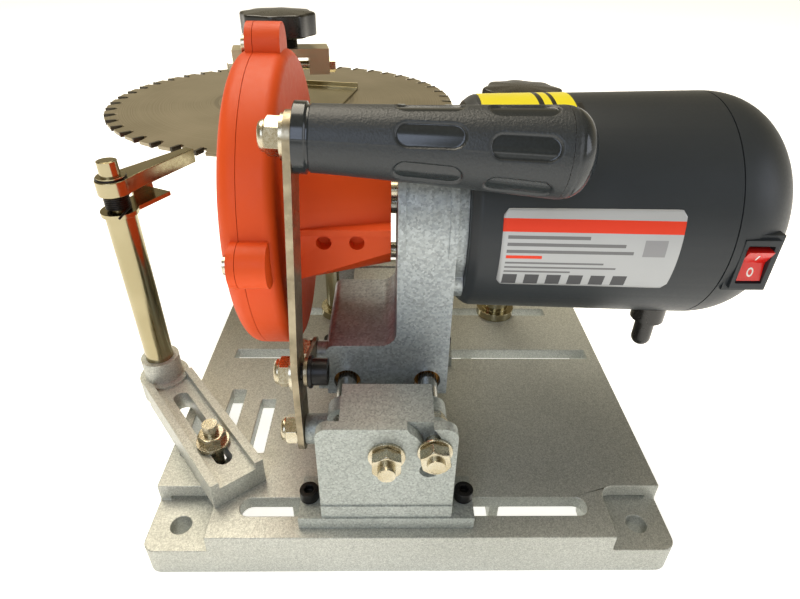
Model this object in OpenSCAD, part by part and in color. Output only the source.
// Electric sharpener for circular saw blades.
// X runs along the motor, Y runs from the operator to the blade, Z is up.
// The origin is the middle of the four bench-bolt holes, on the underside of the base.
// Inside the modules, Y is measured from the front edge of the base (see from_front).

/* [Base] */
// Width of the base casting along X
base_w = 270; // [260:1:290]
// Depth of the base casting along Y
base_d = 280; // [272:1:300]
// Height of the base casting
base_h = 28.6; // [26:0.2:32]
// Height of the four corner lugs
lug_h = 18; // [14:1:20]
// Diameter of the bench-bolt holes
lug_hole = 10.5; // [8:0.5:12]
// Distance of the bench-bolt holes from the side edges
lug_inset_x = 15.8; // [14:0.2:18]
// Distance of the bench-bolt holes from the front and rear edges
lug_inset_y = 15.2; // [14:0.2:18]

/* [Tilting frame] */
// Middle of the brackets and rods along X
frame_x = -12.5; // [-16:0.5:-10]
// Height of the tilt axis and of the guide rods
pivot_z = 79.5; // [78:0.5:82]
// Diameter of the two guide rods
rod_d = 10; // [8:1:12]
// Half the distance between the guide rods
rod_half = 21; // [20:0.5:23]

/* [Grinding head] */
// Height of the spindle
axis_z = 160.5; // [158:0.5:164]
// Spindle from the front edge of the base
axis_y = 105; // [103:0.5:107]
// Diameter of the grinding stone
stone_d = 100; // [90:1:100]
// Thickness of the grinding stone
stone_t = 6; // [5:0.5:6]
// Outside radius of the guard
guard_r = 72.5; // [70:0.5:75]
// Radius of the motor shell at its widest
motor_r = 56; // [54:0.5:57]

/* [Lever] */
// Height of the lever pivot
lever_z = 70; // [68:0.5:72]
// Lever pivot from the front edge of the base
lever_y = 33; // [31:0.5:35]
// Height of the grip
grip_z = 213.5; // [208:0.5:218]

/* [Blade carriage] */
// Diameter of the clamped saw blade
blade_d = 260; // [220:5:260]
// Number of teeth, a multiple of four
teeth = 48; // [40:4:60]
// Height of the blade's middle plane
blade_z = 165; // [163:0.5:168]
// Blade centre along X
blade_x = -93.5; // [-98:1:-88]
// Blade centre from the front edge of the base
blade_y = 289; // [288:1:296]

/* [Tooth stop] */
// Stop post along X
post_x = -152.8; // [-156:0.2:-150]
// Stop post from the front edge of the base
post_y = 106.9; // [104:0.2:110]
// Diameter of the stop post
post_d = 16; // [14:0.5:18]

/* [Hidden] */
$fn = 96;

CAST = "#b9b9b2";
ZINC = "#c9c6b4";
STEEL = "#a9a9a8";
BLACK = "#1d1d1f";
ORANGE = "#e2491f";
BRASS = "#b58b3c";
COPPER = "#a8622f";

run = 0.05;            // radial clearance of a running fit
gap = 0.3;             // clearance between neighbours that move past each other
base_top = base_h;
plate_t = 8;           // thickness of the base's top plate
wall = 6;              // thickness of the base's side walls
notch_x = 33;          // corner notch along X
notch_y = 31;          // corner notch along Y
slot_f_y = 18.2;       // front slot
slot_m_y = 144.3;      // middle slot
slot_b_y = 197;        // rear slot
foot_w = 87;           // bracket foot along X
foot_d = 26;           // bracket foot along Y
plate_w = 64;          // bracket plate along X
screw_half = 39;       // bracket screws from the middle of the bracket
m8 = 4;                // radius of an M8 thread
clamp_r = 22;          // radius of the curved tilt slot
clamp_a = 9;           // angle of the clamp bolt at rest
front_plate_y = 7;     // front face of the front bracket's plate
bracket_t = 5.5;       // thickness of a bracket plate
rear_plate_y = 150.5;  // near face of the rear bracket's plate
front_leg_y = 28.5;    // rod leg of the front carrier
rear_leg_y = 131.2;    // rod leg of the rear carrier
head_y = 58;           // front face of the head block
head_len = 65;         // length of the head block along the rods
head_l = frame_x - 31.5;
head_r = frame_x + 31.5;
shelf_z = 102.5;       // top of the head block
block_z = 70.5;        // bottom of the head block
col_l = -8;            // left face of the motor mount
ring_r = 47;           // outside radius of the motor mount
flange_x = 19;         // motor flange
shell_x = 24;          // start of the motor shell
seam_x = 139.5;          // seam between shell and end cap
cap_len = 42;          // depth of the domed end cap
guard_l = -81;         // outer face of the guard
guard_seam = -72;      // seam between the guard's two halves
guard_rt = -57;        // inner face of the guard
neck_x = -11;          // end of the guard's neck
stone_x = -70;         // outer face of the stone
lug_r = 74;            // radius on which the guard's screw lugs stand
lug_angles = [3, 93, 228];
neck_angles = [35, 155, 275];
flange_angles = [40, 160, 280];
lever_l = -55.5;       // outer face of the lever plate
lever_t = 3;           // thickness of the lever plate
link_l = -50.9;        // outer face of the link plate
grip_y = 42;           // grip from the front edge
link_y = 34.9;         // link pin on the lever
link_z = 105.3;
stud_y = 64;           // link stud on the head
stud_z = 100;
bolt_x = -107.5;       // clamp bolt of the stop arm
bolt_y = 49.5;
arm_angle = atan2(bolt_y - post_y, bolt_x - post_x);
pawl_z = 163.2;        // underside of the pawl
pawl_len = 54.6;
pawl_angle = atan2(50.1, 24.3);
pillar_x = [-50, 70.6];
rail_z = 140;          // underside of the cross rail
stirrup_turn = 10;     // the hold-down stirrup stands slightly turned
sw_x = 151.5;          // middle of the switch
sw_z = 155.5;
bend_z = 113;          // the lever plate leans outwards above this height
lean = 2.8;            // its lean in degrees
stop_y = head_y + head_len + 0.1;   // tip of the depth stop: it meets the head at rest

// ---------- helpers ----------

module from_front() { translate([0, -base_d / 2, 0]) children(); }

// box given by its low corner and its high corner
module box(a, b) { translate(a) cube([b[0] - a[0], b[1] - a[1], b[2] - a[2]]); }

// cylinders along X, Y and Z, starting at p
module rod_x(p, r, l) { translate(p) rotate([0, 90, 0]) cylinder(r = r, h = l); }
module rod_y(p, r, l) { translate(p) rotate([-90, 0, 0]) cylinder(r = r, h = l); }
module rod_z(p, r, l) { translate(p) cylinder(r = r, h = l); }

module ring_z(p, ro, ri, l) {
    translate(p) difference() {
        cylinder(r = ro, h = l);
        translate([0, 0, -1]) cylinder(r = ri, h = l + 2);
    }
}
module ring_x(p, ro, ri, l) { translate(p) rotate([0, 90, 0]) ring_z([0, 0, 0], ro, ri, l); }
module ring_y(p, ro, ri, l) { translate(p) rotate([-90, 0, 0]) ring_z([0, 0, 0], ro, ri, l); }

// hexagon nut along Z with a washer face; af is the width across flats
module hex_nut(af, h, bore) {
    difference() {
        intersection() {
            cylinder(r = af / sqrt(3), h = h, $fn = 6);
            rotate_extrude() polygon([[0, 0], [af / 2 - 0.3, 0], [af / sqrt(3) + 0.2, 1],
                [af / sqrt(3) + 0.2, h - 1], [af / 2 - 0.3, h], [0, h]]);
        }
        translate([0, 0, -1]) cylinder(r = bore, h = h + 2);
    }
}

// flat nut with a built-in flange
module flange_nut(af, h, bore) {
    hex_nut(af, h, bore);
    ring_z([0, 0, 0], af * 0.68, bore, 1.6);
}

// socket cap screw along Z: head from 0 up, shank down
module cap_screw(d, shank) {
    difference() {
        cylinder(r = d * 0.8, h = d);
        translate([0, 0, d * 0.45]) cylinder(r = d * 0.44, h = d, $fn = 6);
    }
    translate([0, 0, -shank]) cylinder(r = d / 2, h = shank + 0.01);
}

// outline of a long slot, round ends, length l over all
module slot_2d(l, w) {
    square([l - w, w], center = true);
    for (s = [-1, 1]) translate([s * (l - w) / 2, 0]) circle(d = w);
}

// rectangle with round corners
module round_rect(w, d, r) {
    square([w - 2 * r, d], center = true);
    square([w, d - 2 * r], center = true);
    for (i = [-1, 1], j = [-1, 1]) translate([i * (w / 2 - r), j * (d / 2 - r)]) circle(r = r);
}

// stands a profile drawn in X and Z upright and extrudes it along +Y from y
module upright(y, t) { translate([0, y + t, 0]) rotate([90, 0, 0]) linear_extrude(t) children(); }

// solid of revolution about an axis parallel to X; the profile is [x, r]
module spun_x(pts) {
    rotate([0, 90, 0]) rotate_extrude() polygon([for (p = pts) [p[1], p[0]]]);
}

// moves to the spindle axis
module on_axis() { translate([0, axis_y, axis_z]) children(); }

// place on a circle about the spindle; the angle starts at the operator's side
module around(r, a) { translate([0, -r * cos(a), r * sin(a)]) children(); }

// star knob along Z with eight lobes
module star_knob(r, h) {
    difference() {
        union() {
            translate([0, 0, h * 0.3]) cylinder(r = r - 3.5, h = h * 0.55);
            for (i = [0:7]) rotate(i * 45) translate([r - 6, 0, h * 0.3]) cylinder(r = 6, h = h * 0.55);
            cylinder(r = r * 0.46, h = h);
        }
        translate([0, 0, -1]) cylinder(r = m8 + run, h = h * 0.8 + 1);
    }
}

// ---------- base ----------

module base_outline(inset) {
    translate([0, base_d / 2]) round_rect(base_w - 2 * inset, base_d - 2 * inset, 7);
}

module corners() {
    for (i = [-1, 1], j = [0, 1])
        translate([i * base_w / 2, j * base_d, 0]) scale([1, 1, 1]) rotate(j * 180)
            mirror([i * (1 - 2 * j) > 0 ? 1 : 0, 0, 0]) children();
}

module corner_notch() {
    translate([0, 0, lug_h]) linear_extrude(base_h) {
        translate([-20, -20]) square([notch_x + 12, notch_y + 20]);
        translate([-20, -20]) square([notch_x + 20, notch_y + 12]);
        translate([notch_x - 8, notch_y - 8]) circle(r = 8);
    }
}

module lug_holes() {
    for (i = [-1, 1], y = [lug_inset_y, base_d - lug_inset_y])
        rod_z([i * (base_w / 2 - lug_inset_x), y, -1], lug_hole / 2, base_h + 2);
}

module base_slots() {
    h = base_h + 2;
    translate([2, slot_f_y, -1]) linear_extrude(h) slot_2d(180, 10.9);
    translate([4.5, slot_m_y, -1]) linear_extrude(h) square([246, 9.6], center = true);
    translate([4.5, slot_b_y, -1]) linear_extrude(h) square([210, 9], center = true);
    box([-129, 52, -1], [-120, 94, h]);
    box([-112, 41, -1], [-103, 107, h]);
    box([-91.7, 54.5, -1], [-82.7, 98, h]);
}

module base_casting() {
    color(CAST) from_front() difference() {
        union() {
            difference() {
                linear_extrude(base_h) base_outline(0);
                translate([0, 0, -1]) linear_extrude(base_h - plate_t + 1) base_outline(wall);
            }
            intersection() {
                linear_extrude(lug_h) base_outline(0);
                corners() linear_extrude(lug_h) square([notch_x + wall, notch_y + wall]);
            }
            for (x = [-60, 45]) box([x - 2.5, wall, 8], [x + 2.5, base_d - wall, base_h - 1]);
            for (y = [118, 222]) box([-base_w / 2 + wall, y - 2.5, 8],
                [base_w / 2 - wall, y + 2.5, base_h - 1]);
        }
        corners() corner_notch();
        lug_holes();
        base_slots();
    }
}

// ---------- brackets, screws and rods ----------

// circular slot about the tilt axis, open at the top of the plate
module tilt_slot(w, a0, a1) {
    difference() {
        intersection() {
            circle(r = clamp_r + w / 2);
            polygon([[0, 0], [60 * cos(a0), 60 * sin(a0)], [60, 20], [60 * cos(a1), 60 * sin(a1)]]);
        }
        circle(r = clamp_r - w / 2);
    }
    translate([clamp_r * cos(a0), clamp_r * sin(a0)]) circle(d = w);
    translate([clamp_r * cos(a1), clamp_r * sin(a1)]) circle(d = w);
}

// plate of a bracket in X and Z about its pivot: round shoulders, bore and tilt slot
module bracket_plate(top) {
    r = 6;
    difference() {
        union() {
            translate([-plate_w / 2, base_top - pivot_z]) square([plate_w, top - base_top - r]);
            translate([-plate_w / 2 + r, base_top - pivot_z]) square([plate_w - 2 * r, top - base_top]);
            for (s = [-1, 1]) translate([s * (plate_w / 2 - r), top - pivot_z - r]) circle(r = r);
        }
        circle(r = m8 + run);
        tilt_slot(9, -27, 52);
    }
}

module bracket_foot(y) {
    box([-foot_w / 2, y, base_top], [foot_w / 2, y + foot_d, base_top + 8]);
    box([-plate_w / 2, y + 1, base_top], [plate_w / 2, y + foot_d - 1, base_top + 16]);
}

module bracket_holes(y) {
    for (s = [-1, 1]) rod_z([s * screw_half, y, base_top - 1], 3.2, 12);
}

module front_bracket() {
    color(CAST) from_front() translate([frame_x, 0, 0]) difference() {
        union() {
            bracket_foot(slot_f_y - foot_d / 2);
            translate([0, 0, pivot_z]) upright(front_plate_y, bracket_t) bracket_plate(96);
        }
        bracket_holes(slot_f_y);
    }
}

module rear_bracket() {
    color(CAST) from_front() translate([frame_x, 0, 0]) difference() {
        union() {
            bracket_foot(slot_m_y - foot_d / 2);
            translate([0, 0, pivot_z]) upright(rear_plate_y, bracket_t) bracket_plate(96);
        }
        bracket_holes(slot_m_y);
    }
}

module bracket_screw_places() {
    for (y = [slot_f_y, slot_m_y], s = [-1, 1])
        translate([frame_x + s * screw_half, y, base_top + 8]) children();
}

module bracket_screws() {
    color(BLACK) from_front() bracket_screw_places() cap_screw(6, 22);
}

module slot_nuts() {
    color(ZINC) from_front() bracket_screw_places() translate([0, 0, -8 - plate_t - 5.2]) difference() {
        linear_extrude(5) square([11.6, 14], center = true);
        translate([0, 0, -1]) cylinder(r = 3, h = 7);
    }
}

// the pivot bolts are tight in the bracket plates and the carriers turn on them
module tilt_pivot_bolts() {
    color(ZINC) from_front() translate([frame_x, 0, pivot_z]) {
        rod_y([0, -4.5, 0], m8, 25);
        translate([0, 20.5, 0]) rotate([-90, 0, 0]) cylinder(r = 7.5, h = 5.3, $fn = 6);
        rod_y([0, 142.3, 0], m8, 25.2);
        translate([0, 137.2, 0]) rotate([-90, 0, 0]) cylinder(r = 7.5, h = 5.2, $fn = 6);
    }
}

module base_hex_nuts() {
    color(ZINC) from_front() {
        translate([frame_x, 0, pivot_z]) {
            translate([0, 5.57, 0]) rotate([90, 30, 0]) hex_nut(13, 6.5, m8);
            ring_y([0, 5.6, 0], 8.5, m8, 1.4);
            translate([0, 157.43, 0]) rotate([-90, 30, 0]) hex_nut(13, 6.5, m8);
            ring_y([0, 156, 0], 8.5, m8, 1.4);
        }
        translate([bolt_x, bolt_y, base_top + 12.4]) {
            ring_z([0, 0, 0], 8, m8, 1.6);
            translate([0, 0, 1.63]) rotate(20) flange_nut(13, 7.5, m8);
        }
    }
}

module arm_bolt() {
    color(ZINC) from_front() translate([bolt_x, bolt_y, 0]) {
        rod_z([0, 0, base_top - plate_t - 5.3], m8, 41);
        translate([0, 0, base_top - plate_t - 5.3]) linear_extrude(5.3) square([12.8, 14], center = true);
    }
}

// ---------- rail that carries the blade ----------

module rail_pillars() {
    color(ZINC) from_front() for (x = pillar_x) translate([x, slot_b_y, 0]) {
        rod_z([0, 0, base_top], 9.5, rail_z - base_top);
        rod_z([0, 0, base_top], 14, 6);
        rod_z([0, 0, rail_z - 1], 4, x > 0 ? 47 : 17);
        rod_z([0, 0, 10], 4, base_top - 9);
        translate([0, 0, base_top - plate_t - 6.6]) cylinder(r = 7.5, h = 6.5, $fn = 6);
    }
}

module cross_rail() {
    color(ZINC) from_front() difference() {
        union() {
            box([-112, slot_b_y - 12, rail_z], [84, slot_b_y + 12, rail_z + 8]);
            rod_z([pillar_x[1], slot_b_y, rail_z + 8], 9.5, 28.3);
        }
        for (x = pillar_x) rod_z([x, slot_b_y, rail_z - 1], 4, 60);
        for (s = [-1, 1]) rod_z([blade_x, slot_b_y + s * 7, rail_z - 1], 2.5, 20);
    }
}

// flat bar with a long slot, on which the blade carriage slides
module guide_bar() {
    color(STEEL) from_front() difference() {
        box([blade_x - 15, slot_b_y - 12, rail_z + 8], [blade_x + 15, blade_y + 96, rail_z + 14]);
        translate([blade_x, blade_y + 40, rail_z]) rotate(90) linear_extrude(20) slot_2d(100, 8.5);
        for (s = [-1, 1]) rod_z([blade_x, slot_b_y + s * 7, rail_z - 1], 2.5, 20);
    }
}

// ---------- tilting frame ----------

// the leg that holds both rods, with shoulders round them
module rod_leg(y, t) {
    r = 8;
    upright(y, t) difference() {
        union() {
            translate([-rod_half, -17.5]) square([2 * rod_half, 17.5 + r]);
            translate([-rod_half - r, -17.5]) square([2 * (rod_half + r), 17.5]);
            for (s = [-1, 1]) translate([s * rod_half, 0]) circle(r = r);
        }
        for (s = [-1, 1]) translate([s * rod_half, 0]) circle(d = rod_d);
    }
}

module pivot_leg(y, t) {
    upright(y, t) difference() {
        union() {
            translate([-rod_half - 0.5, -17.5]) square([2 * rod_half + 1, 30]);
            rotate(clamp_a) translate([0, -8]) square([clamp_r, 16]);
            translate([clamp_r * cos(clamp_a), clamp_r * sin(clamp_a)]) circle(r = 8);
        }
        circle(r = m8 + run);
        translate([clamp_r * cos(clamp_a), clamp_r * sin(clamp_a)]) circle(r = m8);
    }
}

// room in the carrier's top for the clamp bolt's head
module clamp_head_room(y, t) {
    rod_y([clamp_r * cos(clamp_a), y, clamp_r * sin(clamp_a)], 8, t);
}

module front_carrier() {
    color(CAST) from_front() translate([frame_x, 0, pivot_z]) {
        difference() {
            rod_leg(front_leg_y, 9.5);
            rod_x([-rod_half - 20, lever_y, lever_z - pivot_z], 3, 24.1);
        }
        pivot_leg(12.8, 7.4);
        difference() {
            box([-rod_half - 0.5, 12.8, 8.5], [rod_half + 0.5, front_leg_y + 9.5, 15.5]);
            clamp_head_room(20.2, 5.6);
        }
        ring_x([lever_l - frame_x + lever_t + gap, lever_y, lever_z - pivot_z], 7.5, 3,
            frame_x - rod_half - 8 - lever_l - lever_t);
    }
}

module rear_carrier() {
    color(CAST) from_front() translate([frame_x, 0, pivot_z]) difference() {
        union() {
            rod_leg(rear_leg_y, 5.8);
            pivot_leg(142.8, 7.4);
            difference() {
                box([-rod_half - 0.5, rear_leg_y, 8.5], [rod_half + 0.5, 150.2, 15.5]);
                clamp_head_room(137, 5.8);
            }
            box([-6, rear_leg_y, 2], [6, rear_leg_y + 5.8, 12]);
        }
        rod_y([0, rear_leg_y - 1, 6], 3, 12);
    }
}

module guide_rods() {
    color(STEEL) from_front() translate([frame_x, 0, pivot_z]) for (s = [-1, 1])
        rod_y([s * rod_half, front_leg_y + 0.5, 0], rod_d / 2, rear_leg_y + 5 - front_leg_y);
}

module clamp_bolt() {
    color(ZINC) from_front() translate([frame_x, 0, pivot_z])
        for (y = [[-3, 23.4, 20.2], [142.5, 21.5, 137.4]])
            translate([clamp_r * cos(clamp_a), 0, clamp_r * sin(clamp_a)]) {
                rod_y([0, y[0], 0], m8, y[1]);
                translate([0, y[2], 0]) rotate([-90, 0, 0]) cylinder(r = 7.5, h = 5.2, $fn = 6);
            }
}

module frame_hex_nuts() {
    color(ZINC) from_front() {
        translate([frame_x + clamp_r * cos(clamp_a), 0, pivot_z + clamp_r * sin(clamp_a)]) {
            translate([0, 5.37, 0]) rotate([90, 20, 0]) hex_nut(13, 6.5, m8);
            ring_y([0, 5.4, 0], 8, m8, 1.3);
            translate([0, 157.63, 0]) rotate([-90, 20, 0]) hex_nut(13, 6.5, m8);
            ring_y([0, 156.3, 0], 8, m8, 1.3);
        }
        translate([lever_l - gap, lever_y, lever_z]) rotate([0, -90, 0]) hex_nut(13, 6.5, m8);
    }
}

module lever_pin() {
    color(ZINC) from_front() {
        rod_x([lever_l - 8.2, lever_y, lever_z], m8, 8.4 + lever_t + gap - 0.2);
        rod_x([lever_l + lever_t, lever_y, lever_z], 3, frame_x - rod_half + 4 - lever_l - lever_t);
    }
}

// sets how deep the stone may go into the gullet
module depth_stop_screw() {
    color(ZINC) from_front() translate([frame_x, stop_y, pivot_z + 6]) {
        rod_y([0, 0, 0], 3, 13.5);
        translate([0, 4.6, 0]) rotate([-90, 0, 0]) hex_nut(10, 3.2, 2.9);
    }
}

// ---------- grinding head ----------

// front view of the head casting: block, shelf and column
module head_front() {
    r = 5;
    f = 8;
    difference() {
        union() {
            translate([head_l + r, block_z]) square([head_r - head_l - r, shelf_z - block_z]);
            translate([head_l, block_z]) square([r + 1, shelf_z - block_z - r]);
            translate([head_l + r, shelf_z - r]) circle(r = r);
            translate([col_l, block_z]) square([flange_x - col_l, axis_z - block_z]);
            translate([col_l - f, shelf_z - 1]) square([f + 1, f + 1]);
        }
        translate([col_l - f, shelf_z + f]) circle(r = f);
        translate([-50, shelf_z + f]) square([50 + col_l, 60]);
    }
}

module head_casting() {
    color(CAST) from_front() difference() {
        union() {
            upright(head_y, head_len) head_front();
            on_axis() rod_x([col_l, 0, 0], ring_r, flange_x - col_l);
            intersection() {
                on_axis() {
                    rod_x([col_l, 0, 0], ring_r + 1, 3.6);
                    rod_x([flange_x - 3.6, 0, 0], ring_r + 1, 3.6);
                }
                box([-20, 40, axis_z - 10], [30, 200, 300]);
            }
            rod_x([link_l + 2.3, stud_y, stud_z - 6], 6, head_l - link_l);
            box([link_l + 2.3, stud_y - 6, stud_z - 26], [head_l + 1, stud_y + 6, stud_z - 6]);
        }
        on_axis() rod_x([col_l - 1, 0, 0], 18, 40);
        on_axis() rod_x([col_l + 6, 0, 0], 36, 40);
        for (s = [-1, 1]) {
            rod_y([frame_x + s * rod_half, head_y - 1, pivot_z], 7, head_len + 2);
            box([frame_x + s * rod_half - 5.8, head_y - 1, block_z - 1],
                [frame_x + s * rod_half + 5.8, head_y + 3, pivot_z]);
        }
        box([frame_x - 11, head_y + 4, block_z - 1], [frame_x + 11, head_y + head_len - 8, shelf_z - 7]);
        box([col_l + 5, head_y + 5, shelf_z], [flange_x - 5, head_y + head_len + 1, axis_z - 40]);
        on_axis() for (a = neck_angles) around(27, a) rod_x([col_l - 1, 0, 0], 2.5, 12);
        on_axis() for (a = flange_angles) around(41.5, -a) {
            rod_x([col_l - 2, 0, 0], 4.2, flange_x - 3.2 - col_l + 2);
            rod_x([flange_x - 4, 0, 0], 2.3, 6);
        }
        rod_x([link_l + 1, stud_y, stud_z - 6 + 6 - 6], 3, 20);
    }
}

module rod_bushes() {
    color(BRASS) from_front() for (s = [-1, 1], y = [head_y + 3.2, head_y + head_len - 16.2])
        ring_y([frame_x + s * rod_half, y, pivot_z], 7, rod_d / 2 + run, 16);
}

module link_stud() {
    color(ZINC) from_front() translate([0, stud_y, stud_z - 6]) {
        rod_x([link_l + 2, 0, 0], 3, 17);
        rod_x([link_l - 8, 0, 0], m8, 10.2);
    }
}

module link_nut() {
    color(ZINC) from_front() translate([link_l - 0.6, stud_y, stud_z - 6]) rotate([0, -90, 0])
        hex_nut(13, 6.5, m8);
}

module motor_flange() {
    color(CAST) from_front() on_axis() difference() {
        union() {
            rod_x([flange_x, 0, 0], 45, shell_x - flange_x);
            rod_x([flange_x - 9, 0, 0], 35.9, 9);
            for (a = flange_angles) around(41.5, -a) rod_x([flange_x, 0, 0], 9, shell_x - flange_x);
        }
        rod_x([flange_x - 20, 0, 0], 11, 40);
        rod_x([flange_x + 1, 0, 0], 13, 10);
        for (a = flange_angles) around(41.5, -a) rod_x([flange_x - 1, 0, 0], 2.2, 10);
    }
}

module flange_screws() {
    color(ZINC) from_front() on_axis() for (a = flange_angles) around(41.5, -a) {
        difference() {
            rod_x([flange_x - 6.4, 0, 0], 4, 3.2);
            for (b = [0, 90]) rotate([b, 0, 0]) translate([flange_x - 7.2, -2.5, -0.5]) cube([2.2, 5, 1]);
        }
        rod_x([flange_x - 3.3, 0, 0], 2.2, 11.2);
    }
}

function shell_r(x) = motor_r - 3.2 * (seam_x - x) / (seam_x - shell_x);

module motor_shell() {
    color(BLACK) from_front() on_axis() {
        difference() {
            spun_x([[shell_x + 0.1, 14], [shell_x + 0.1, 50],
                [shell_x + 3, shell_r(shell_x) - 0.6], [shell_x + 5, shell_r(shell_x + 5)],
                [seam_x - 0.2, motor_r], [seam_x - 0.2, motor_r - 3],
                [shell_x + 6, shell_r(shell_x) - 3.5], [shell_x + 3.1, 47], [shell_x + 3.1, 14]]);
            for (a = flange_angles) around(41.5, -a) rod_x([shell_x - 1, 0, 0], 2.3, 6);
        }
    }
}

// quarter of a rounded-off ellipse, from the seam to the tip of the end cap
function cap_arc(r, len, n) = [for (i = [0:n]) let (a = 90 * i / n)
    [seam_x + 0.2 + len * pow(sin(a), 0.9), r * pow(cos(a), 0.86)]];

module motor_end_cap() {
    color(BLACK) from_front() difference() {
        union() {
            on_axis() spun_x(concat(cap_arc(motor_r, cap_len, 24), [[seam_x + cap_len - 2.8, 0]],
                [for (i = [24:-1:0]) cap_arc(motor_r - 3, cap_len - 3, 24)[i]]));
            on_axis() ring_x([141.9, 0, 0], 15, 12, 36.6);
            box([sw_x - 10, 51, sw_z - 14], [sw_x + 10, 70, sw_z + 14]);
        }
        box([sw_x - 7.3, 50, sw_z - 10.8], [sw_x + 7.3, 69, sw_z + 10.8]);
        box([sw_x - 8.2, 40, sw_z - 12.5], [sw_x + 8.2, 50.9, sw_z + 12.5]);
    }
}

module stator() {
    color(STEEL) from_front() on_axis() {
        difference() {
            union() {
                rod_x([60, 0, 0], 44, 48);
                for (s = [-1, 1]) rod_y([84, s > 0 ? 37 : -50.6, 0], 6, 13.6);
            }
            rod_x([50, 0, 0], 27, 70);
        }
    }
    color(COPPER) from_front() on_axis() for (x = [53, 108.2]) ring_x([x, 0, 0], 40, 29, 6.8);
}

module brush_holders() {
    color(BRASS) from_front() on_axis() for (s = [-1, 1]) {
        rod_y([128, s > 0 ? 12.6 : -33, 0], 4.5, 20.4);
        rod_y([128, s > 0 ? 33.2 : -52, 0], 6, 18.8);
    }
}

module spindle_bearings() {
    color(STEEL) from_front() on_axis() for (b = [[10, 11, 6], [20.2, 12.9, 6], [142.1, 12, 4]])
        ring_x([b[0], 0, 0], b[1], b[2] + run, 9);
}

module switch_bezel() {
    color(BLACK) from_front() difference() {
        union() {
            box([sw_x - 8, 49, sw_z - 12.3], [sw_x + 8, 50.8, sw_z + 12.3]);
            box([sw_x - 7, 50.5, sw_z - 10.5], [sw_x + 7, 66, sw_z + 10.5]);
        }
        box([sw_x - 5.9, 48, sw_z - 9.3], [sw_x + 5.9, 64, sw_z + 9.3]);
        rod_x([sw_x - 6.7, 53.2, sw_z], 1.55, 13.4);
    }
}

module switch_rocker() {
    color("#c8201c") from_front() {
        translate([sw_x - 5.7, 53.2, sw_z]) rotate([90, 0, 90]) linear_extrude(11.4)
            polygon([[-5.8, 7.2], [-1.8, 0], [-3.2, -8.6], [4.4, -8], [7, 0], [4.4, 8]]);
        rod_x([sw_x - 6.6, 53.2, sw_z], 1.5, 13.2);
    }
}

module cord_gland() {
    color(BLACK) from_front() translate([128, 82, 0]) {
        difference() {
            rod_z([0, 0, 104.6], 8.5, 14);
            translate([-128, -82, 0]) on_axis() rod_x([100, 0, 0], motor_r - 3.5, 60);
            translate([-128, -82, 0]) on_axis() spun_x([[shell_x, 0], [shell_x, shell_r(shell_x) + 0.05],
                [seam_x + 10, motor_r + 0.3], [seam_x + 10, 0]]);
        }
        rod_z([0, 0, 92], 5, 13);
        translate([0, 0, 92]) sphere(r = 5);
    }
}

// points of a quarter circle, or a sharp corner when r is 0
function edge_arc(x, y, sx, r) = r == 0 ? [[x, y]] : [for (i = [0:8]) let (a = 90 * i / 8)
    [x + sx * r * (1 - cos(a)), y - r * (1 - sin(a))]];
function reversed(v) = [for (i = [len(v) - 1:-1:0]) v[i]];

// disc about the spindle from x0 to x1 with round outer edges
module guard_solid(x0, x1, r, round_left, round_right) {
    spun_x(concat([[x0, 0]], edge_arc(x0, r, 1, round_left),
        reversed(edge_arc(x1, r, -1, round_right)), [[x1, 0]]));
}

module guard_lugs(x0, x1) {
    for (a = lug_angles) around(lug_r, a) rod_x([x0, 0, 0], 9.6, x1 - x0);
}

// mouth at the back where the blade enters, wide enough for every tilt
module guard_mouth() { box([guard_l - 5, 34, -24], [guard_rt + 3, 100, 36]); }

module guard_cover() {
    color(ORANGE) from_front() on_axis() difference() {
        union() {
            guard_solid(guard_l, guard_seam - 0.1, guard_r, 7, 0);
            guard_lugs(guard_l + 5.5, guard_seam - 0.1);
        }
        rod_x([guard_l + 2.5, 0, 0], guard_r - 4, 20);
        guard_mouth();
        for (a = lug_angles) around(lug_r, a) {
            rod_x([guard_l - 1, 0, 0], 2.6, 40);
            rod_x([guard_l - 1, 0, 0], 4.4, 6.5);
        }
    }
}

module neck_solid() {
    spun_x([[guard_rt - 3, 0], [guard_rt - 3, 40], [guard_rt, 40], [neck_x, 31], [neck_x, 0]]);
}

module guard_body() {
    color(ORANGE) from_front() on_axis() difference() {
        union() {
            guard_solid(guard_seam + 0.1, guard_rt, guard_r, 0, 5);
            guard_lugs(guard_seam + 0.1, guard_rt - 3);
            neck_solid();
            box([guard_rt - 1, -37, -10], [neck_x, -20, 0]);
            box([guard_rt - 1, -40, 0], [neck_x, -20, 3]);
            translate([guard_rt - 1, -36.9, -10]) rotate([-90, 0, 0])
                linear_extrude(12) polygon([[0, 0], [neck_x - guard_rt + 1, 0], [0, 16]]);
        }
        rod_x([guard_seam - 5, 0, 0], guard_r - 4, guard_rt - 3.5 - guard_seam + 5);
        rod_x([guard_rt - 10, 0, 0], 22, neck_x - guard_rt + 6);
        rod_x([neck_x - 5, 0, 0], 16, 10);
        guard_mouth();
        for (a = lug_angles) around(lug_r, a) rod_x([guard_seam - 1, 0, 0], 2.1, 12.1);
        for (a = neck_angles) around(27, a) rod_x([neck_x - 12, 0, 0], 2.5, 15);
        for (x = [-42.5, -27]) rod_y([x, -45, -5], 3.6, 14);
    }
}

module guard_screws() {
    color(ZINC) from_front() on_axis() for (a = lug_angles) around(lug_r, a) {
        difference() {
            rod_x([guard_l + 2.6, 0, 0], 4, 2.9);
            for (b = [0, 90]) rotate([b, 0, 0]) translate([guard_l + 2, -2.5, -0.5]) cube([2.2, 5, 1]);
        }
        rod_x([guard_l + 5.4, 0, 0], 2.1, 14.5);
    }
}

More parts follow.
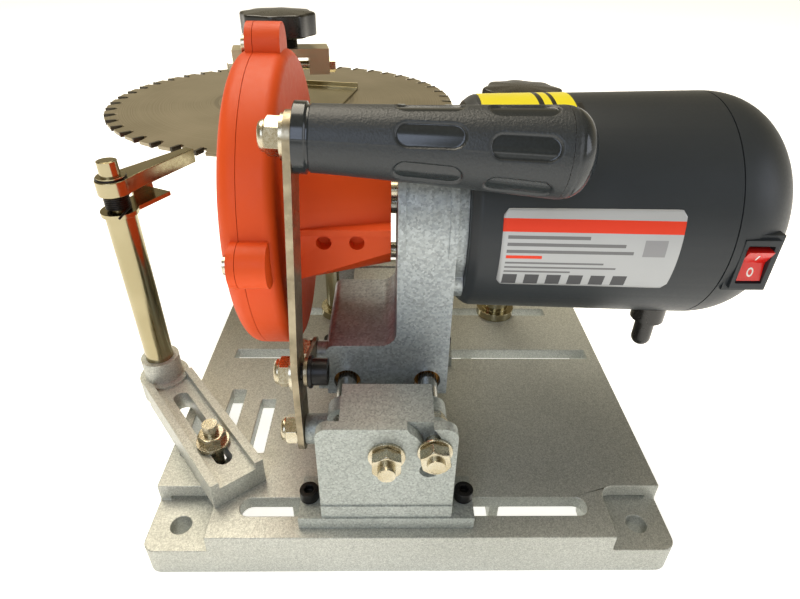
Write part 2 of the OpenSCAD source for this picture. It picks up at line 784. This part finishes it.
module neck_bolts() {
    color(ZINC) from_front() on_axis() for (a = neck_angles) around(27, a) {
        rod_x([neck_x - 11, 0, 0], 2.5, 21);
        ring_x([neck_x + 0.1, 0, 0], 4.2, 2.5, 2.8);
    }
}

// ---------- spindle ----------

module spindle() {
    color(STEEL) from_front() on_axis() {
        rod_x([-78, 0, 0], 4.9, 22.1);
        rod_x([-56, 0, 0], 6, 85.3);
        rod_x([29.2, 0, 0], 8, 30);
        rod_x([59.1, 0, 0], 6, 80);
        rod_x([139, 0, 0], 4, 14);
    }
}

module armature() {
    color(STEEL) from_front() on_axis() difference() {
        rod_x([62, 0, 0], 26, 44);
        rod_x([61, 0, 0], 6, 46);
        for (i = [0:11]) rotate([i * 30, 0, 0]) box([61, -1.5, 20], [107, 1.5, 30]);
    }
    color(COPPER) from_front() on_axis() {
        ring_x([106.2, 0, 0], 22, 6, 8);
        ring_x([120, 0, 0], 12, 6, 16);
    }
}

module cooling_fan() {
    color(BLACK) from_front() on_axis() {
        ring_x([38, 0, 0], 12, 8, 12);
        ring_x([38, 0, 0], 40, 11, 2);
        for (i = [0:7]) rotate([i * 45, 0, 0]) box([39.5, -1, 11], [50, 1, 39]);
    }
}

module stone_flanges() {
    color(ZINC) from_front() on_axis() {
        difference() {
            union() {
                rod_x([stone_x + stone_t, 0, 0], 19, 5);
                rod_x([stone_x + stone_t + 4.9, 0, 0], 11, 6);
            }
            rod_x([-80, 0, 0], 4.9, 24.2);
            rod_x([-56, 0, 0], 6, 20);
        }
        ring_x([stone_x - 2.4, 0, 0], 19, 4.9, 2.4);
    }
}

module grinding_stone() {
    color("#c98a86") from_front() on_axis() ring_x([stone_x, 0, 0], stone_d / 2, 4.9, stone_t);
}

module stone_nut() {
    color(ZINC) from_front() on_axis() translate([stone_x - 7.4, 0, 0]) rotate([0, 90, 0])
        hex_nut(16, 5, 4.9);
}

// ---------- lever and link ----------

// tilts what stands above the bend outwards with the lever plate
module leaned() {
    translate([lever_l, 0, bend_z]) rotate([0, lean, 0]) translate([-lever_l, 0, -bend_z]) children();
}

// hole on the lever plate at a given place, in the plate's own frame
module lever_hole(y, z, a, r) {
    dy = y - lever_y;
    dz = z - lever_z;
    translate([-(dy * sin(a) + dz * cos(a)), dy * cos(a) - dz * sin(a)]) circle(r = r);
}

module flat_lever() {
    a = atan2(grip_y - lever_y, grip_z - lever_z);
    len = norm([grip_y - lever_y, grip_z - lever_z]);
    translate([lever_l, lever_y, lever_z]) rotate([-a, 0, 0])
        rotate([0, 90, 0]) linear_extrude(lever_t) difference() {
            union() {
                translate([-len, -10]) square([len, 20]);
                circle(r = 10);
                translate([-len, 0]) circle(r = 10);
            }
            circle(r = m8 + run);
            lever_hole(grip_y, grip_z, a, m8);
            lever_hole(link_y, link_z, a, m8);
        }
}

module lever_plate() {
    color(ZINC) from_front() {
        intersection() {
            flat_lever();
            box([-70, 0, 0], [-40, 100, bend_z]);
        }
        leaned() intersection() {
            flat_lever();
            box([-70, 0, bend_z - 0.3], [-40, 100, 300]);
        }
    }
}

module grip_place() { leaned() translate([lever_l + lever_t, grip_y, grip_z]) rotate([0, 90, 0]) children(); }

module hand_grip() {
    color(BLACK) from_front() grip_place() rotate_extrude() polygon(concat(
        [[m8 + 0.3, 0.4], [13.2, 0.4], [13.2, 5], [12.4, 5.6], [12.6, 8]],
        [for (i = [1:10]) [12.6 + 4.9 * pow(i / 10, 1.2), 8 + 9.2 * i]],
        [for (i = [1:6]) [17.5 - 3.2 * (1 - cos(15 * i)), 100 + 12 * sin(15 * i)]],
        [[11, 114], [0, 114], [0, 92], [m8 + 0.3, 92]]));
}

module grip_bolt() {
    color(ZINC) from_front() leaned() translate([0, grip_y, grip_z]) {
        rod_x([lever_l - 9, 0, 0], m8, 9 + lever_t + 0.1);
        rod_x([lever_l + lever_t, 0, 0], m8 - 0.4, 88);
    }
}

module lever_nuts() {
    color(ZINC) from_front() {
        leaned() translate([lever_l, grip_y, grip_z]) rotate([0, -90, 0]) rotate(12)
            flange_nut(13, 7.5, m8);
        translate([lever_l, link_y, link_z]) rotate([0, -90, 0]) rotate(24) flange_nut(13, 6.8, m8);
    }
}

module link_screw() {
    color(BLACK) from_front() translate([0, link_y, link_z]) {
        rod_x([lever_l - 8, 0, 0], m8, 16.4);
        difference() {
            rod_x([link_l + 3.7, 0, 0], 6.5, 7.2);
            translate([link_l + 7.5, 0, 0]) rotate([0, 90, 0]) cylinder(r = 3.5, h = 5, $fn = 6);
        }
        ring_x([link_l + 2.2, 0, 0], 7.8, m8, 1.5);
    }
}

module link_plate() {
    v = [stud_y - link_y, stud_z - 6 - link_z];
    a = atan2(v[1], v[0]);
    color(BRASS) from_front() translate([link_l, link_y, link_z]) rotate([90, 0, 90]) rotate(a)
        linear_extrude(2) difference() {
            union() {
                translate([0, -7]) square([norm(v), 14]);
                circle(r = 7);
                translate([norm(v), 0]) circle(r = 8);
            }
            circle(r = m8 + run);
            translate([norm(v), 0]) circle(r = m8 + 0.9);
        }
}

// ---------- tooth stop ----------

module stop_arm() {
    color(CAST) from_front() translate([post_x, post_y, base_top + 0.1]) {
        difference() {
            union() {
                rotate(arm_angle) {
                    box([8, -14.5, 0], [103, 14.5, 12.2]);
                    for (s = [-1, 1]) box([8, s > 0 ? 10 : -14.5, 12], [103, s > 0 ? 14.5 : -10, 16.5]);
                }
                cylinder(r = 11, h = 28);
                cylinder(r = 14.5, h = 14);
            }
            translate([0, 0, -1]) cylinder(r = post_d / 2, h = 40);
            rotate(arm_angle) translate([56, 0, -1]) linear_extrude(20) slot_2d(68, 9);
            rotate(arm_angle) box([84, -14, -1], [110, 14, -0.9]);
        }
    }
}

module stop_post() {
    color(ZINC) from_front() translate([post_x, post_y, 0]) {
        rod_z([0, 0, base_top - 2], post_d / 2 - run, 152 - base_top + 2);
        rod_z([0, 0, 151.9], 4, pawl_z + 17.5 - 151.9);
        rod_z([0, 0, pawl_z + 8.2], 7.2, 1.4);
        rod_z([0, 0, pawl_z + 9.6], 5, 7.6);
        rotate(pawl_angle) difference() {
            union() {
                translate([0, 0, 152]) cylinder(r = 9.5, h = 2.4);
                box([0, -6, 152], [30, 7.8, 154.4]);
                box([16, 6.4, 154.3], [30, 7.8, 168]);
            }
            rod_z([0, 0, 150], 3.9, 10);
        }
    }
}

// five flat turns of wire, drawn as stacked rings joined by a sleeve
module stop_spring() {
    color(BLACK) from_front() translate([post_x, post_y, 154.6]) {
        for (i = [0:5]) translate([0, 0, 0.7 + 1.36 * i]) rotate_extrude() translate([5.8, 0]) circle(d = 1.4);
        ring_z([0, 0, 0.5], 5.9, 5.3, 7.2);
        rotate(pawl_angle - 12) rod_x([0, -5.8, 5.2], 0.7, 18);
    }
}

module stop_pawl() {
    color(ZINC) from_front() translate([post_x, post_y, pawl_z]) rotate(pawl_angle) linear_extrude(8)
        difference() {
            union() {
                circle(r = 8.2);
                polygon([[0, -8.2], [12, -6.4], [pawl_len, -4.6], [pawl_len, 1.4], [12, 6.4], [0, 8.2]]);
            }
            circle(r = m8 + run);
        }
}

// ---------- blade and its clamp ----------

module carriage_slider() {
    color(CAST) from_front() translate([blade_x, blade_y, rail_z + 14.2]) difference() {
        union() {
            box([-19, -20, 0], [19, 20, 7.4]);
            for (s = [-1, 1]) box([s > 0 ? 15.4 : -19, -20, -8], [s > 0 ? 19 : -15.4, 20, 0.1]);
            cylinder(r = 14.8, h = 9.4);
            cylinder(r = 8 - run, h = blade_z + 0.9 - rail_z - 14.2);
        }
        translate([0, 0, -20]) cylinder(r = m8, h = 60);
    }
}

module blade_stud() {
    color(ZINC) from_front() translate([blade_x, blade_y, 0]) {
        rod_z([0, 0, rail_z + 1.5], m8, 74);
        rod_z([0, 0, rail_z + 1.5], 8, 6.2);
    }
}

// toothed disc; every tooth is the same outline turned about the bore
module saw_blade() {
    r = blade_d / 2;
    pitch = 360 / teeth;
    color("#8f8a77") from_front() translate([blade_x, blade_y, blade_z - 1.1]) linear_extrude(2.2)
        difference() {
            circle(r = r - 0.2, $fn = 192);
            for (i = [0:teeth - 1]) rotate(i * pitch) polygon([[r - 9, -0.6], [r - 8.2, 2.4],
                [r - 2.6, 5.4], [r + 2, 6.2], [r + 2, -1.8], [r - 4, -1.4]]);
            circle(r = 8);
        }
}

module pressure_plate() {
    color(ZINC) from_front() translate([blade_x, blade_y, blade_z + 1.3]) rotate(-stirrup_turn)
        difference() {
            union() {
                linear_extrude(1.5) translate([10, 10]) square([76, 70], center = true);
                box([-28, 43.5, 0], [48, 45, 5]);
                cylinder(r = 15, h = 4);
            }
            translate([0, 0, -1]) cylinder(r = m8 + 0.3, h = 20);
        }
}

module clamp_stirrup() {
    z0 = blade_z + 3;
    color(ZINC) from_front() translate([blade_x, blade_y, 0]) rotate(stirrup_turn) difference() {
        union() {
            box([-35, -11, z0 + 30], [35, 11, z0 + 36]);
            for (s = [-1, 1]) box([s > 0 ? 20 : -35, -11, z0 + 18], [s > 0 ? 35 : -20, 11, z0 + 31]);
            ring_z([0, 0, z0 + 2.6], 9, m8 + run, 28);
        }
        rod_z([0, 0, z0 + 20], m8 + run, 30);
        rod_x([-40, 0, z0 + 23], 3, 80);
    }
}

module stirrup_bolt() {
    z0 = blade_z + 3;
    color(ZINC) from_front() translate([blade_x, blade_y, z0 + 23]) rotate(stirrup_turn) {
        for (s = [-1, 1]) rod_x([s > 0 ? 9.2 : -40, 0, 0], 3, 30.8);
        translate([35, 0, 0]) rotate([0, 90, 0]) cylinder(r = 5.8, h = 5, $fn = 6);
        translate([-40, 0, 0]) rotate([0, 90, 0]) hex_nut(10, 5, 3);
    }
}

module blade_knob() {
    color(BLACK) from_front() translate([blade_x, blade_y, blade_z + 39.4]) star_knob(27.4, 27);
}

module rail_knob() {
    color(BLACK) from_front() translate([pillar_x[1], slot_b_y, rail_z + 36.5]) star_knob(25, 24);
}

base_casting();
front_bracket();
rear_bracket();
bracket_screws();
slot_nuts();
tilt_pivot_bolts();
base_hex_nuts();
arm_bolt();
rail_pillars();
cross_rail();
guide_bar();
front_carrier();
rear_carrier();
guide_rods();
clamp_bolt();
frame_hex_nuts();
lever_pin();
depth_stop_screw();
head_casting();
rod_bushes();
link_stud();
link_nut();
motor_flange();
flange_screws();
motor_shell();
motor_end_cap();
stator();
brush_holders();
spindle_bearings();
switch_bezel();
cord_gland();
guard_cover();
guard_body();
guard_screws();
neck_bolts();
spindle();
armature();
cooling_fan();
stone_flanges();
grinding_stone();
stone_nut();
switch_rocker();
lever_plate();
hand_grip();
grip_bolt();
lever_nuts();
link_screw();
link_plate();
stop_arm();
stop_post();
stop_spring();
stop_pawl();
carriage_slider();
blade_stud();
pressure_plate();
clamp_stirrup();
stirrup_bolt();
blade_knob();
saw_blade();
rail_knob();
